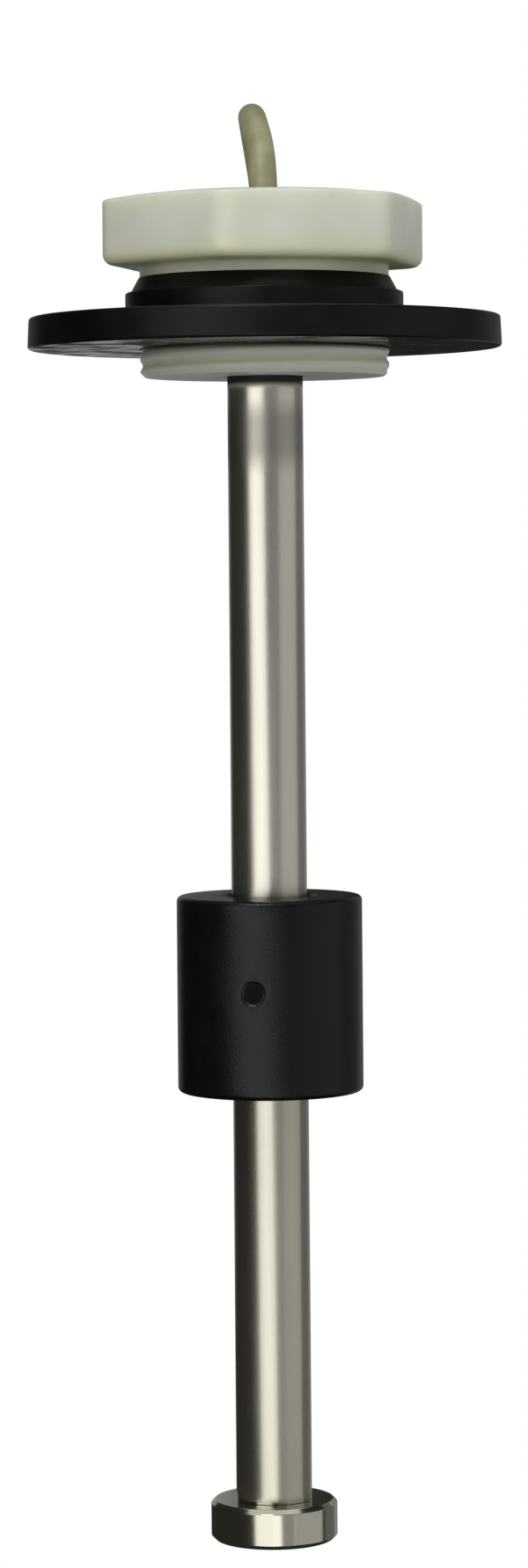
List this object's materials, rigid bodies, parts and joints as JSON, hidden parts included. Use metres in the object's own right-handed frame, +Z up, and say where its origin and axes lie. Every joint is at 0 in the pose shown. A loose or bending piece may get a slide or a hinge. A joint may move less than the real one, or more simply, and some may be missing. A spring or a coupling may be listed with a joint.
{
  "type": "tank level sender",
  "caption": "Screw-in tank level sender: hexagon plastic head with a lead, rubber sealing flange, steel stem, and a magnet float that slides down to a round stop nut.",
  "frame": {"origin": "centre of the sealing face under the rubber flange, on the stem's axis", "axes": "+Z up the stem and out of the tank, front towards -Y, lead running over the back towards +Y"},
  "size_m": [0.0798, 0.0908, 0.2431],
  "materials": {
    "white_plastic": "satin moulded plastic",
    "seal_rubber": "matte",
    "flange_rubber": "satin moulded rubber",
    "stem_steel": "drawn stainless",
    "plug_steel": "turned stainless",
    "nut_steel": "machined stainless",
    "float_foam": "closed-cell foam rubber skin",
    "magnet_nickel": "nickel plated",
    "cap_rubber": "matte",
    "potting_resin": "cast resin",
    "stopper_silicone": "matte silicone",
    "core_black": "insulation",
    "core_pink": "insulation",
    "board_laminate": "glass-fibre laminate",
    "foot_silicone": "matte silicone",
    "reed_glass": "clear green glass",
    "lead_alloy": "tinned",
    "solder": "solder",
    "chip_ceramic": "glazed",
    "sheath_olive": "soft matte sheath",
    "tinned_copper": "tinned strands"
  },
  "bodies": {
    "sender": {"head_plug": "white_plastic", "stem_seal": "seal_rubber", "sealing_flange": "flange_rubber", "stem_tube": "stem_steel", "end_plug": "plug_steel", "stop_nut": "nut_steel", "head_potting": "potting_resin", "stem_stopper": "stopper_silicone", "board_core_ground": "core_black", "board_core_signal": "core_pink", "circuit_board": "board_laminate", "board_foot": "foot_silicone", "reed_switches": "reed_glass", "reed_leads": "lead_alloy", "solder_joints": "solder", "chip_resistors": "chip_ceramic", "cable_sheath": "sheath_olive", "cable_tail_ground": "core_black", "cable_tail_signal": "core_pink", "core_tips": "tinned_copper"},
    "float": {"float_body": "float_foam", "float_magnets": "magnet_nickel", "magnet_caps": "cap_rubber"}
  },
  "joints": [
    {"name": "float_slide", "type": "slide", "parent": "sender", "child": "float", "axis": [0, 0, 1], "range_m": [-0.0681, 0.0868]}
  ]
}
